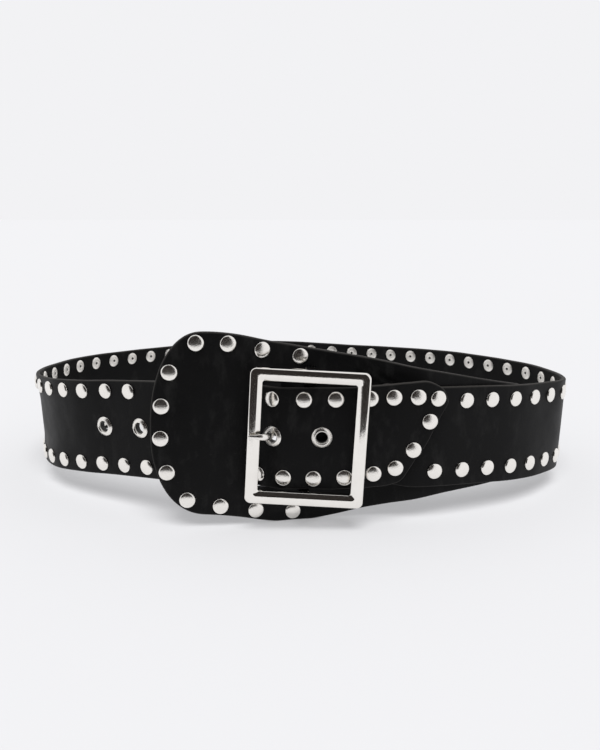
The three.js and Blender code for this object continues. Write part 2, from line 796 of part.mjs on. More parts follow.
function finishedPanel() {
  const width = slotLeft - slotRight;
  const height = strapWidth + 2 * slotMargin;
  const middle = frontLift + strapWidth / 2;
  const slot = box(width, 8 * leather, height, buckleX - (slotLeft + slotRight) / 2, buckleY, middle);
  let solid = panelSolid().subtract(toSolid(slot));
  solid = cutAll(solid, panelPlaces, hole(shankRadius + gap, leather, 1, 1));
  return cutAll(solid, seamPlaces, hole(shankRadius + gap, seamStack, 0, 1));
}

addMesh("strap", toGeometry(strapSolid()), blackLeather());
addMesh("panel", toGeometry(finishedPanel()), blackLeather());

const buckle = new THREE.Group();
buckle.position.set(buckleX, frameBackY, buckleLift);
buckle.rotation.y = THREE.MathUtils.degToRad(buckleTurn);
belt.add(buckle);
addMesh("buckle_frame", toGeometry(buckleFrame()), nickel(), new THREE.Matrix4(), buckle);
const prongPlace = new THREE.Matrix4().makeTranslation(0, 0, -prongDrop);
addMesh("prong", toGeometry(prong()), nickel(), prongPlace, buckle);

eyeletPlaces.forEach((place, i) => addMesh(`eyelet_${i + 1}`, eyelet(), nickel(), place));
panelPlaces.forEach((place, i) => addMesh(`panel_stud_${i + 1}`, rivet(leather), nickel(), place));
tailStudPlaces.forEach((place, i) => addMesh(`tail_stud_${i + 1}`, rivet(leather), nickel(), place));
seamPlaces.forEach((place, i) => addMesh(`seam_stud_${i + 1}`, rivet(seamStack), nickel(), place));

// The origin goes to the middle of the belt's foot.
const extent = new THREE.Box3().setFromObject(belt, true);
const middle = extent.getCenter(new THREE.Vector3());
belt.position.set(-middle.x, -middle.y, -extent.min.z);

export default belt;
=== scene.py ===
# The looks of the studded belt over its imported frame: leather, rivets, eyelets, buckle, light and camera.
# Lengths are in millimetres until a mesh is made, because the row frame is in metres.
import math

import bmesh
import bpy
import numpy as np
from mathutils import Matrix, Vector


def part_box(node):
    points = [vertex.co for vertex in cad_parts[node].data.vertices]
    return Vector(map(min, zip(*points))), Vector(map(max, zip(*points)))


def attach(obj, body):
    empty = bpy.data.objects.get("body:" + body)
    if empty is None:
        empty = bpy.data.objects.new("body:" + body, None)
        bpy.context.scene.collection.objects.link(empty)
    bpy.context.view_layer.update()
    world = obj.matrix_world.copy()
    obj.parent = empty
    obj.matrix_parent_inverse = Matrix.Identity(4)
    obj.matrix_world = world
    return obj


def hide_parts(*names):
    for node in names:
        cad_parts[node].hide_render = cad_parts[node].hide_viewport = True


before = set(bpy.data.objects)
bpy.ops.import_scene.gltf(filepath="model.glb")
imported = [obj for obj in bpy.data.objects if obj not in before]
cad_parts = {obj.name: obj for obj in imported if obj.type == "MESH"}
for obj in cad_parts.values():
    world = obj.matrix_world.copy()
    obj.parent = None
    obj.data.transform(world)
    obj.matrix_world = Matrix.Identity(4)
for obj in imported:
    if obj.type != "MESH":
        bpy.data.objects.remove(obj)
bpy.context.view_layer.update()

MM = 0.001

# Leather, as in the frame
STRAP_WIDTH = 50
LEATHER = 2.5
SKIVED = 1.7
CHAPE_WIDTH = 30
CHAPE_BACK = 15
GAP = 0.3
BACK_GAP = 0.6
FOLD_ROOM = 2
LOOP_WIDTH = 290.5
LOOP_DEPTH = 225.8
FRONT_LIFT = 19.4

# Rivets and eyelets
STUD_PITCH = 15.215
LOW_PITCH = 15.115
CAP_HEIGHT = 2
BACK_CAP_RADIUS = 2.9
BACK_CAP_HEIGHT = 0.8
HIGH_INSET = 5.5
HIGH_INSET_RIGHT = 7
LOW_INSET = 5.9
LOW_INSET_RIGHT = 8.0
ROW_STAGGER = 5.4
TIP_ROUND = 2.2
TIP_CLEAR = 6
TIP_LOW_ROOM = 10
EYELET_BORE = 2.7
EYELET_FLANGE = 5
FLANGE_THICKNESS = 0.5
EYELET_PITCH = 23.6
EYELET_PLACES = (-1, 0, 3, 4)
PRONG_EYELET = 84.6
EYELET_HEIGHT = 25.9

# Panel
PANEL_HEIGHT = 96
PANEL_LENGTH = 188
PANEL_LEFT = 75.3
PANEL_CORNER_LENGTH = 25
PANEL_CORNER_POWER = 2.2
PANEL_STUD_INSET = 4.9
PANEL_STUD_TOP_END = 75.5
PANEL_STUD_BOTTOM_END = 70.6
SLOT_LEFT = 27.2
SLOT_RIGHT = 12.4
SLOT_MARGIN = 0.6

# Buckle and prong
BUCKLE_X = 5.65
BUCKLE_WIDTH = 56
BUCKLE_HEIGHT = 65.5
BAR_WIDTH = 6
BAR_DEPTH = 5
CENTRE_BAR_WIDTH = 5
CENTRE_BAR_DEPTH = 2.5
BUCKLE_TURN = 3.2
BUCKLE_RISE = 1.2
PRONG_WIDTH = 3.4
PRONG_THICKNESS = 2
PRONG_LOOP_WALL = 1
PRONG_DROP = 1.6

# Camera: its place from the loop's middle, its pitch and its focal length for a picture 750 pixels high
CAMERA_PLACE = (2.35, -525.8, 166.1)
CAMERA_PITCH = 12.49
FOCAL_PIXELS = 899
PICTURE_HEIGHT = 750
SENSOR = 36


def table(columns, *rows):
    """A small table as a dict of columns."""
    return {name: np.array(column, float) for name, column in zip(columns.split(), zip(*rows))}


# The loop: shares of half its width and depth, share of the front's lift, lean in degrees
LOOP = table(
    "x y lift lean",
    (-0.437, -0.913, 1.0, 0),
    (-0.616, -0.774, 0.86, 1.5),
    (-0.791, -0.629, 0.69, 2.5),
    (-0.93, -0.428, 0.5, 2.5),
    (-0.997, -0.175, 0.37, 2.5),
    (-0.953, 0.221, 0.23, 1.5),
    (-0.789, 0.563, 0.1, 0.5),
    (-0.558, 0.834, 0.01, -1),
    (-0.27, 0.988, 0, -1.3),
    (-0.062, 0.989, 0, -0.6),
    (0.234, 0.862, 0, 0.3),
    (0.503, 0.654, 0.12, 0.2),
    (0.741, 0.391, 0.23, 0.2),
    (0.937, 0.075, 0.29, 0.6),
    (1.005, -0.179, 0.34, 1.6),
    (0.986, -0.444, 0.47, 2.2),
    (0.868, -0.655, 0.62, 0),
)

# The panel's middle surface from above, left end first
PANEL_PLAN = table(
    "x y",
    (-0.56, -1.053),
    (-0.397, -1.047),
    (-0.273, -1.029),
    (-0.156, -0.999),
    (-0.039, -0.949),
    (0.071, -0.925),
    (0.188, -0.924),
    (0.305, -0.933),
    (0.402, -0.941),
    (0.498, -0.907),
    (0.594, -0.857),
    (0.691, -0.795),
    (0.78, -0.723),
    (0.856, -0.636),
)

# The panel's edges: shares of its length and height
PANEL_OUTLINE = table(
    "along top bottom",
    (0, 0.985, 0.085),
    (0.1437, 1.0, 0.068),
    (0.2156, 0.985, 0.048),
    (0.3182, 0.936, 0.002),
    (0.3388, 0.928, 0),
    (0.4106, 0.9, 0),
    (0.4722, 0.878, 0.022),
    (0.5646, 0.848, 0.067),
    (0.7443, 0.775, 0.127),
    (0.8983, 0.705, 0.145),
    (1, 0.661, 0.156),
)

# The tail's dive through the slot: shares of half the buckle's width and of the depth
TAIL_DIVE = table(
    "left deep",
    (0.3, 0),
    (0.4, 0.002),
    (0.455, 0.024),
    (0.53, 0.12),
    (0.604, 0.222),
    (0.68, 0.326),
    (0.755, 0.435),
    (0.83, 0.565),
    (0.914, 0.715),
    (1.046, 0.88),
    (1.296, 0.99),
)

# The tail's tip and its rivets: shares of the strap's width
TAIL_TIP = table(
    "back low high",
    (0, 0.79, 0.88),
    (0.044, 0.745, 0.95),
    (0.126, 0.6, 1.01),
    (0.216, 0.42, 1.045),
    (0.314, 0.284, 1.045),
    (0.384, 0.176, 1.04),
    (0.448, 0.086, 1.038),
    (0.56, 0.04, 1.03),
    (0.744, 0.02, 1.02),
    (0.95, 0.008, 1.003),
    (1.1, 0, 1),
)
TAIL_STUDS = table(
    "back up",
    (0.114, 0.874),
    (0.308, 0.896),
    (0.544, 0.902),
    (0.768, 0.897),
    (1.09, 0.888),
    (1.389, 0.886),
    (1.69, 0.884),
    (0.518, 0.208),
    (0.728, 0.16),
    (1.004, 0.122),
    (1.3, 0.113),
    (1.586, 0.122),
    (1.85, 0.122),
    (0.19, 0.654),
    (0.344, 0.38),
)

# The panel's rivets, from its upper right round its free edge: where each sits, in even steps of the walk
PANEL_STUD_STEPS = np.array([0, 1.115, 2.075, 2.94, 4.05, 5.02, 5.94, 6.93, 7.92, 8.875, 9.885, 11])

# The prong's middle line: shares of half the buckle's width, the depth, its thickness and its width
PRONG = table(
    "left deep thick rise",
    (0.03, 0.338, 0.45, 0),
    (0.115, 0.338, 0.5, 0),
    (0.2, 0.338, 0.95, 0),
    (0.33, 0.39, 1, 0),
    (0.44, 0.495, 1, 0),
    (0.515, 0.505, 1, 0),
    (0.561, 0.385, 1, 0.02),
    (0.575, 0.19, 1, 0.12),
    (0.592, -0.08, 1.1, 0.26),
    (0.608, -0.34, 1.2, 0.38),
    (0.635, -0.6, 1.25, 0.48),
    (0.685, -0.81, 1.15, 0.58),
    (0.75, -0.93, 0.9, 0.64),
    (0.84, -0.965, 0.6, 0.66),
    (0.92, -0.955, 0.45, 0.64),
    (0.98, -0.94, 0.4, 0.62),
)

# The strap on the panel at the front right: share of the panel's length, share of the front's lift
RIGHT = table(
    "along lift",
    (0.5749, 0.72),
    (0.4928, 0.8),
    (0.4106, 0.86),
    (0.3388, 0.9),
    (0.2669, 0.93),
)

# The strap's ends in shares of half the buckle's width: the tail on the strap, its step down and its share
# of the step, the tail in the window, and the end's steps from the panel to the centre bar
TAIL_REACH = 2.35
TAIL_ON_STRAP = (TAIL_REACH, 2.1, 1.85)
TAIL_STEP = 1.5
TAIL_STEP_SHARE = 0.6
TAIL_IN_WINDOW = (1.05, 0.6, 0.2, -0.1)
CHAPE_LEAVES = 1.4
CHAPE_RISES = 0.75
CHAPE_LEVELS = 0.32
NARROW_FROM = 1.75
BEND_FROM = 0.38

# Places on the plan in shares of half the loop's width and depth
AFTER_SLOT = (-0.356, -0.95)
ROW_START = (-0.5591, -0.8158)
PANEL_AT_BUCKLE = 0.94

HALF_WIDTH = LOOP_WIDTH / 2
HALF_DEPTH = LOOP_DEPTH / 2
HALF = LEATHER / 2
HALF_BUCKLE = BUCKLE_WIDTH / 2
BUCKLE_LIFT = FRONT_LIFT + EYELET_HEIGHT + BUCKLE_RISE

# Layers, outwards from the panel's middle surface
ON_PANEL = LEATHER + GAP
CHAPE_UNDER = HALF + GAP + SKIVED / 2
CENTRE_BAR_LEVEL = HALF + GAP + SKIVED + BACK_GAP + CENTRE_BAR_DEPTH / 2
CHAPE_OVER = CENTRE_BAR_LEVEL + CENTRE_BAR_DEPTH / 2 + BACK_GAP + SKIVED / 2
WINDOW_LEVEL = CHAPE_OVER + SKIVED / 2 + GAP + FLANGE_THICKNESS + BACK_GAP + HALF
ON_STRAP = ON_PANEL + HALF + GAP + BACK_CAP_HEIGHT + BACK_GAP + HALF
BEHIND_PANEL = -(HALF + BACK_GAP + BACK_CAP_HEIGHT + GAP + CAP_HEIGHT + HALF + LEATHER)


def smooth(keys, values):
    """A smooth function through a column of a table, the same one as the solids are made with."""
    keys = np.asarray(keys, float)
    values = np.asarray(values, float)
    count = len(keys)

    def at(x):
        x = np.clip(np.asarray(x, float), keys[0], keys[-1])
        i = np.clip(np.searchsorted(keys, x, side="right"), 1, count - 1)
        before = np.where(i >= 2, i - 2, i)
        after = np.where(i + 1 < count, i + 1, i - 1)
        t0, t1 = keys[i - 1], keys[i]
        half = (t1 - t0) / 2
        wp = half / (t0 - keys[before])
        wn = half / (keys[after] - t1)
        p = (x - t0) / (t1 - t0)
        p2, p3 = p**2, p**3
        return (
            (-wp * p3 + 2 * wp * p2 - wp * p) * values[before]
            + ((1 + wp) * p3 + (-1.5 - 2 * wp) * p2 + (-0.5 + wp) * p + 1) * values[i - 1]
            + ((-1 - wn) * p3 + (1.5 + wn) * p2 + 0.5 * p) * values[i]
            + (wn * p3 - wn * p2) * values[after]
        )

    return at


class Line:
    """A smooth line through points, with places on it by distance from its start."""

    def __init__(self, points, fine=60):
        points = np.asarray(points, float)
        ends = np.vstack([2 * points[0] - points[1], points, 2 * points[-1] - points[-2]])
        a, b, c, d = ends[:-3], ends[1:-2], ends[2:-1], ends[3:]

        def root(u, v):
            return np.sum((u - v) ** 2, axis=1, keepdims=True) ** 0.25

        ab, bc, cd = root(a, b), root(b, c), root(c, d)
        start = ((b - a) / ab - (c - a) / (ab + bc) + (c - b) / bc) * bc
        stop = ((c - b) / bc - (d - b) / (bc + cd) + (d - c) / cd) * bc
        u = (np.arange(fine) / fine)[None, :, None]
        square = (-3 * b + 3 * c - 2 * start - stop)[:, None]
        cube = (2 * b - 2 * c + start + stop)[:, None]
        dense = b[:, None] + start[:, None] * u + square * u**2 + cube * u**3
        self.points = np.vstack([dense.reshape(-1, points.shape[1]), points[-1:]])
        steps = np.linalg.norm(np.diff(self.points, axis=0), axis=1)
        self.run = np.concatenate([[0], np.cumsum(steps)])
        self.length = self.run[-1]

    def at(self, distance):
        columns = [np.interp(distance, self.run, column) for column in self.points.T]
        return np.stack(columns, axis=-1)

    def place(self, distance):
        """Points, and the level directions that point out of the loop there."""
        step = 0.3
        distance = np.clip(distance, 0, self.length)
        ahead = np.clip(distance + step, 0, self.length)
        behind = np.clip(distance - step, 0, self.length)
        way = (self.at(ahead) - self.at(behind))[..., :2]
        way = way / np.linalg.norm(way, axis=-1, keepdims=True)
        out = np.stack([-way[..., 1], way[..., 0], np.zeros(way.shape[:-1])], axis=-1)
        return self.at(distance), out

    def nearest(self, x, y):
        away = np.hypot(self.points[:, 0] - x, self.points[:, 1] - y)
        return self.run[int(np.argmin(away))]


def smoothstep(x, low, high):
    t = np.clip((x - low) / (high - low), 0, 1)
    return t * t * (3 - 2 * t)


# Panel

panel_points = np.stack([PANEL_PLAN["x"] * HALF_WIDTH, PANEL_PLAN["y"] * HALF_DEPTH], axis=1)[::-1]
panel_line = Line(np.column_stack([panel_points, np.zeros(len(panel_points))]))
buckle_on_panel = panel_line.nearest(BUCKLE_X, -HALF_DEPTH * PANEL_AT_BUCKLE)
panel_top = smooth(PANEL_OUTLINE["along"] * PANEL_LENGTH, PANEL_OUTLINE["top"] * PANEL_HEIGHT)
panel_bottom = smooth(PANEL_OUTLINE["along"] * PANEL_LENGTH, PANEL_OUTLINE["bottom"] * PANEL_HEIGHT)
PANEL_WAIST = PANEL_HEIGHT * 0.49


def panel_place(along, level=0):
    at, out = panel_line.place(buckle_on_panel - along)
    return at + out * level, out


def panel_edges(from_left):
    into = np.clip(1 - from_left / PANEL_CORNER_LENGTH, 0, 1)
    power = PANEL_CORNER_POWER
    opened = (1 - into**power) ** (1 / power)
    rise = (panel_top(from_left) - PANEL_WAIST) * opened
    fall = (PANEL_WAIST - np.maximum(0, panel_bottom(from_left))) * opened
    return PANEL_WAIST + rise, PANEL_WAIST - fall


def panel_stud_places():
    """Distance from the left end and height of the panel's rivets, on a walk inside its free edge."""
    steps = np.arange(61) / 60
    down = PANEL_STUD_TOP_END * (1 - steps) ** 2
    up = PANEL_STUD_BOTTOM_END * steps**2
    outline = np.vstack(
        [np.column_stack([down, panel_edges(down)[0]]), np.column_stack([up, panel_edges(up)[1]])]
    )
    way = outline[2:] - outline[:-2]
    way = way / np.linalg.norm(way, axis=1, keepdims=True)
    inner = outline[1:-1] + PANEL_STUD_INSET * np.column_stack([-way[:, 1], way[:, 0]])
    walk = Line(inner[inner[:, 0] > PANEL_STUD_INSET * 0.9])
    return walk.at(walk.length * PANEL_STUD_STEPS / (len(PANEL_STUD_STEPS) - 1))


# Strap

buckle_y = panel_place(0)[0][1]
tail_y = buckle_y - WINDOW_LEVEL
behind_y = panel_place(-1.2 * HALF_BUCKLE, BEHIND_PANEL)[0][1]
frame_back_y = tail_y - HALF - GAP - CAP_HEIGHT - GAP
centre_bar_y = buckle_y - CENTRE_BAR_LEVEL - frame_back_y


def panel_point(along, level, lift=FRONT_LIFT):
    at = panel_place(along, level)[0]
    return (at[0], at[1], lift)


def strap_points():
    reach = HALF_BUCKLE
    points = [panel_point(right * reach, ON_STRAP) for right in TAIL_ON_STRAP]
    step_level = ON_STRAP + (WINDOW_LEVEL - ON_STRAP) * TAIL_STEP_SHARE
    points.append(panel_point(TAIL_STEP * reach, step_level))
    points += [(BUCKLE_X + right * reach, tail_y, FRONT_LIFT) for right in TAIL_IN_WINDOW]
    for left, deep in zip(TAIL_DIVE["left"], TAIL_DIVE["deep"]):
        points.append((BUCKLE_X - left * reach, tail_y + (behind_y - tail_y) * deep, FRONT_LIFT))
    points.append((AFTER_SLOT[0] * HALF_WIDTH, AFTER_SLOT[1] * HALF_DEPTH, FRONT_LIFT))
    for x, y, lift in zip(LOOP["x"], LOOP["y"], LOOP["lift"]):
        points.append((x * HALF_WIDTH, y * HALF_DEPTH, lift * FRONT_LIFT))
    for along, lift in zip(RIGHT["along"], RIGHT["lift"]):
        points.append(panel_point(along * PANEL_LENGTH, ON_PANEL, lift * FRONT_LIFT))
    points.append(panel_point(CHAPE_LEAVES * reach, ON_PANEL))
    points.append(panel_point(CHAPE_RISES * reach, (ON_PANEL + CHAPE_OVER) / 2))
    points.append(panel_point(CHAPE_LEVELS * reach, CHAPE_OVER))
    points.append(panel_point(0.05 * CENTRE_BAR_WIDTH, CHAPE_OVER))
    fold_radius = (CHAPE_OVER - CHAPE_UNDER) / 2
    for turn in np.linspace(0, math.pi, 7):
        along = -CENTRE_BAR_WIDTH / 2 - FOLD_ROOM - SKIVED / 2 * math.sin(turn)
        points.append(panel_point(along, CENTRE_BAR_LEVEL + fold_radius * math.cos(turn)))
    points.append(panel_point(CHAPE_BACK * 0.4, CHAPE_UNDER))
    points.append(panel_point(CHAPE_BACK - CENTRE_BAR_WIDTH / 2, CHAPE_UNDER))
    return points


strap_line = Line(strap_points())
loop_end = strap_line.nearest(LOOP["x"][-1] * HALF_WIDTH, LOOP["y"][-1] * HALF_DEPTH)
row_start = strap_line.nearest(ROW_START[0] * HALF_WIDTH, ROW_START[1] * HALF_DEPTH)
fold_place = panel_place(-CENTRE_BAR_WIDTH / 2 - FOLD_ROOM - SKIVED / 2, CENTRE_BAR_LEVEL)[0]
fold_middle = strap_line.nearest(fold_place[0], fold_place[1])
panel_end = panel_place(PANEL_LENGTH - PANEL_LEFT, ON_PANEL)[0]
seam_start = strap_line.nearest(panel_end[0], panel_end[1])
under_tip = panel_place(TAIL_REACH * HALF_BUCKLE, ON_PANEL)[0]
tip_on_loop = strap_line.nearest(under_tip[0], under_tip[1])
lean_stops = [strap_line.nearest(x * HALF_WIDTH, y * HALF_DEPTH) for x, y in zip(LOOP["x"], LOOP["y"])]
loop_lean = smooth(lean_stops, LOOP["lean"])
tip_low = smooth(TAIL_TIP["back"] * STRAP_WIDTH, TAIL_TIP["low"] * STRAP_WIDTH)
tip_high = smooth(TAIL_TIP["back"] * STRAP_WIDTH, TAIL_TIP["high"] * STRAP_WIDTH)
bend_start = strap_line.nearest(BUCKLE_X - BEND_FROM * HALF_BUCKLE, tail_y)


def narrowing(distance):
    full_until = strap_line.length - CHAPE_BACK - NARROW_FROM * HALF_BUCKLE
    return smoothstep(distance, full_until, full_until + STRAP_WIDTH / 4)


def strap_edges(distance):
    """Upper and lower edge above the strap's own lift, with the tip's corner rounded at its very end."""
    inset = narrowing(distance) * (STRAP_WIDTH - CHAPE_WIDTH) / 2
    top = tip_high(distance) - inset
    bottom = np.maximum(0, tip_low(distance)) + inset
    middle = (top + bottom) / 2
    into = np.clip(1 - distance / TIP_ROUND, 0, 1)
    opened = np.sqrt(1 - into**2)
    return middle + (top - middle) * opened, middle + (bottom - middle) * opened


def strap_thickness(distance):
    return LEATHER + (SKIVED - LEATHER) * narrowing(distance)


def strap_place(distance):
    at, out = strap_line.place(distance)
    at[..., 2] = np.maximum(0, at[..., 2])
    return at, out


def panel_sheet_place(from_left):
    return panel_place(from_left - PANEL_LEFT)


# The move from the loop's own middle to the row frame comes from the buckle's box.
buckle_low, buckle_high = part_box("buckle_frame")
SHIFT = np.array(
    [
        (buckle_low.x + buckle_high.x) / 2 / MM - BUCKLE_X,
        buckle_low.y / MM + BAR_DEPTH - frame_back_y,
        0,
    ]
)


# Meshes

def make_object(name, points, faces, material):
    """A mesh object from points in millimetres round the loop's own middle."""
    mesh = bpy.data.meshes.new(name)
    metres = (np.asarray(points) + SHIFT) * MM
    mesh.from_pydata(metres.tolist(), [], [list(face) for face in faces])
    mesh.materials.append(material)
    made = bpy.data.objects.new(name, mesh)
    bpy.context.scene.collection.objects.link(made)
    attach(made, "root")
    return made


def finish_mesh(made, angle=40):
    """Welds what meets, turns the faces outwards and shades the mesh smooth up to an angle."""
    work = bmesh.new()
    work.from_mesh(made.data)
    bmesh.ops.remove_doubles(work, verts=work.verts, dist=2e-6)
    bmesh.ops.recalc_face_normals(work, faces=work.faces)
    work.to_mesh(made.data)
    work.free()
    made.data.shade_smooth()
    made.data.set_sharp_from_angle(angle=math.radians(angle))


class Heap:
    """Points and faces of many small pieces that become one mesh."""

    def __init__(self):
        self.points = []
        self.faces = []
        self.hollow_shade = []
        self.dull = []
        self.count = 0

    def add(self, points, faces, hollow_shade=None, dull=0):
        """Adds a shape. hollow_shade and dull, from 0 to 1, say how deep in a bore each point is, which sets
        its painted shade, and how rough it is.
        """
        self.points.append(np.asarray(points, float))
        self.faces += [[index + self.count for index in face] for face in faces]
        self.hollow_shade.append(np.zeros(len(points)) if hollow_shade is None else hollow_shade)
        self.dull.append(np.full(len(points), dull))
        self.count += len(points)

    def object(self, name, material, slot, angle=40):
        made = make_object(name, np.vstack(self.points), self.faces, material)
        store(made, "hollow_shade", np.concatenate(self.hollow_shade))
        store(made, "dull", np.concatenate(self.dull))
        finish_mesh(made, angle)
        return made


def lathe(profile, sides=32, closed=False):
    """Points and faces of a turned shape with its axis along z. A radius of 0 is a pole."""
    profile = np.asarray(profile, float)
    turn = np.arange(sides) / sides * 2 * math.pi
    rings = np.stack(
        [
            profile[:, 0:1] * np.cos(turn),
            profile[:, 0:1] * np.sin(turn),
            np.repeat(profile[:, 1:2], sides, axis=1),
        ],
        axis=-1,
    )
    count = len(profile)
    faces = []
    for ring in range(count if closed else count - 1):
        low = ring * sides
        high = (ring + 1) % count * sides
        for side in range(sides):
            after = (side + 1) % sides
            faces.append((low + side, low + after, high + after, high + side))
    return rings.reshape(-1, 3), faces


def set_on(points, at, out):
    """Points of a shape with its axis along z, moved to a place on a face that looks along out."""
    across = np.cross((0, 0, 1), out)
    across = across / np.linalg.norm(across)
    rise = np.cross(out, across)
    return at + points[:, 0:1] * across + points[:, 1:2] * rise + points[:, 2:3] * out


def distance_to_outline(u, v, outline):
    """Distance of each point (u, v) to a closed outline."""
    start = outline
    way = np.roll(outline, -1, axis=0) - outline
    size = np.maximum((way**2).sum(axis=1), 1e-12)
    found = np.empty(u.shape)
    for row in range(u.shape[0]):
        du = u[row][:, None] - start[:, 0]
        dv = v[row][:, None] - start[:, 1]
        share = np.clip((du * way[:, 0] + dv * way[:, 1]) / size, 0, 1)
        gap = np.hypot(du - share * way[:, 0], dv - share * way[:, 1])
        found[row] = gap.min(axis=1)
    return found


# The cut edges of the leather: how far in they are rounded, how far in they are painted lighter as a raw
# edge with a painted highlight, and the rows of points near them
EDGE_ROUND = 0.8
RIM_WIDTH = 0.7
EDGE_SHARES = np.array([0, 0.0015, 0.005, 0.01, 0.0165, 0.026])


def leather_sheet(name, place, edges, stations, tall, round_end, thickness, lean, relief, shade, material):
    """A sheet of leather with rounded cut edges that bends with its plan line.

    Its rows run from the upper to the lower edge. Near its first end they sweep round with the outline.
    """
    inner = np.linspace(EDGE_SHARES[-1], 1 - EDGE_SHARES[-1], int(tall / 2.0) + 1)
    across = np.concatenate([EDGE_SHARES[:-1], inner, 1 - EDGE_SHARES[:-1][::-1]])
    sweep = tall / 4 * np.clip(1 - stations / round_end, 0, 1) ** 2
    bow = 1 - (2 * across - 1) ** 2
    along = stations[:, None] + sweep[:, None] * bow[None, :]
    top, bottom = edges(stations)
    up = top[:, None] + (bottom - top)[:, None] * across[None, :]
    outline = np.vstack([np.column_stack([stations, top]), np.column_stack([stations, bottom])[::-1]])
    rim = distance_to_outline(along, up, outline)
    inward = np.clip(1 - rim / EDGE_ROUND, 0, 1)
    flat = thickness(along) / 2
    edge_loss = np.minimum(EDGE_ROUND, flat * 0.65) * (1 - np.sqrt(1 - inward**2))
    at, out = place(along)
    slope = np.tan(np.radians(lean(along)))
    sides = []
    for side in (1, -1):
        level = side * (flat - edge_loss) + up * slope + relief(along, up, side)
        points = at + out * level[..., None]
        points[..., 2] = at[..., 2] + up
        sides.append(points)
    rows, columns = along.shape
    count = rows * columns
    faces = []
    for row in range(rows - 1):
        for column in range(columns - 1):
            a = row * columns + column
            b, c, d = a + 1, a + columns + 1, a + columns
            faces.append((a, b, c, d))
            faces.append((count + a, count + d, count + c, count + b))
    border = [row * columns for row in range(rows)]
    border += [(rows - 1) * columns + column for column in range(1, columns)]
    border += [row * columns + columns - 1 for row in range(rows - 2, -1, -1)]
    for a, b in zip(border, border[1:]):
        faces.append((a, b, count + b, count + a))
    both_sides = np.concatenate([points.reshape(-1, 3) for points in sides])
    made = make_object(name, both_sides, faces, material)
    rim_share = np.clip(1 - rim / RIM_WIDTH, 0, 1).ravel()
    store(made, "rim", np.concatenate([rim_share, rim_share]))
    shades = [shade(along, side).ravel() for side in (1, -1)]
    store(made, "wear", np.concatenate(shades))
    finish_mesh(made, 50)
    return made


def store(made, name, values):
    layer = made.data.attributes.new(name, "FLOAT", "POINT")
    layer.data.foreach_set("value", np.asarray(values, np.float32))


def cut(made, cutters):
    """Cuts closed shapes out of a mesh."""
    heap = Heap()
    for points, faces in cutters:
        heap.add(points, faces)
    tool = heap.object(made.name + "_cutter", made.data.materials[0], "black_leather")
    change = made.modifiers.new("cut", "BOOLEAN")
    change.object = tool
    change.operation = "DIFFERENCE"
    change.solver = "EXACT"
    graph = bpy.context.evaluated_depsgraph_get()
    mesh = bpy.data.meshes.new_from_object(made.evaluated_get(graph), depsgraph=graph)
    made.modifiers.clear()
    made.data = mesh
    bpy.data.objects.remove(tool)
    made.data.set_sharp_from_angle(angle=math.radians(50))


# Materials

class Paint:
    """A node material built a node at a time."""

    def __init__(self, name):
        self.material = bpy.data.materials.new(name)
        self.material.use_nodes = True
        self.tree = self.material.node_tree
        self.shader = self.tree.nodes["Principled BSDF"]

    def node(self, kind, links=None, **values):
        made = self.tree.nodes.new(kind)
        for key, value in values.items():
            setattr(made, key, value)
        for socket, source in (links or {}).items():
            self.link(source, made.inputs[socket])
        return made

    def link(self, source, target):
        if isinstance(source, (int, float, tuple)):
            target.default_value = source
        else:
            self.tree.links.new(source, target)

    def texture(self, kind, scale, stretch=None, turn=None, **inputs):
        """A procedural texture in the row frame."""
        where = self.node("ShaderNodeTexCoord").outputs["Object"]
        if stretch or turn:
            mapping = self.node("ShaderNodeMapping", {"Vector": where})
            mapping.inputs["Scale"].default_value = stretch or (1, 1, 1)
            mapping.inputs["Rotation"].default_value = turn or (0, 0, 0)
            where = mapping.outputs["Vector"]
        made = self.node(kind, {"Vector": where, "Scale": scale})
        for key, value in inputs.items():
            made.inputs[key].default_value = value
        return made

    def spread(self, source, low, high, to_low, to_high):
        links = {"Value": source, "From Min": low, "From Max": high, "To Min": to_low, "To Max": to_high}
        return self.node("ShaderNodeMapRange", links).outputs["Result"]

    def attribute(self, name):
        return self.node("ShaderNodeAttribute", attribute_name=name).outputs["Fac"]

    def mix(self, share, first, second):
        made = self.node("ShaderNodeMix", data_type="RGBA")
        self.link(share, made.inputs[0])
        self.link(first, made.inputs[6])
        self.link(second, made.inputs[7])
        return made.outputs[2]

    def math(self, operation, first, second):
        made = self.node("ShaderNodeMath", operation=operation)
        self.link(first, made.inputs[0])
        self.link(second, made.inputs[1])
        return made.outputs[0]

    def bump(self, height, strength, distance, under=None):
        links = {"Height": height, "Strength": strength, "Distance": distance}
        if under is not None:
            links["Normal"] = under
        return self.node("ShaderNodeBump", links).outputs["Normal"]


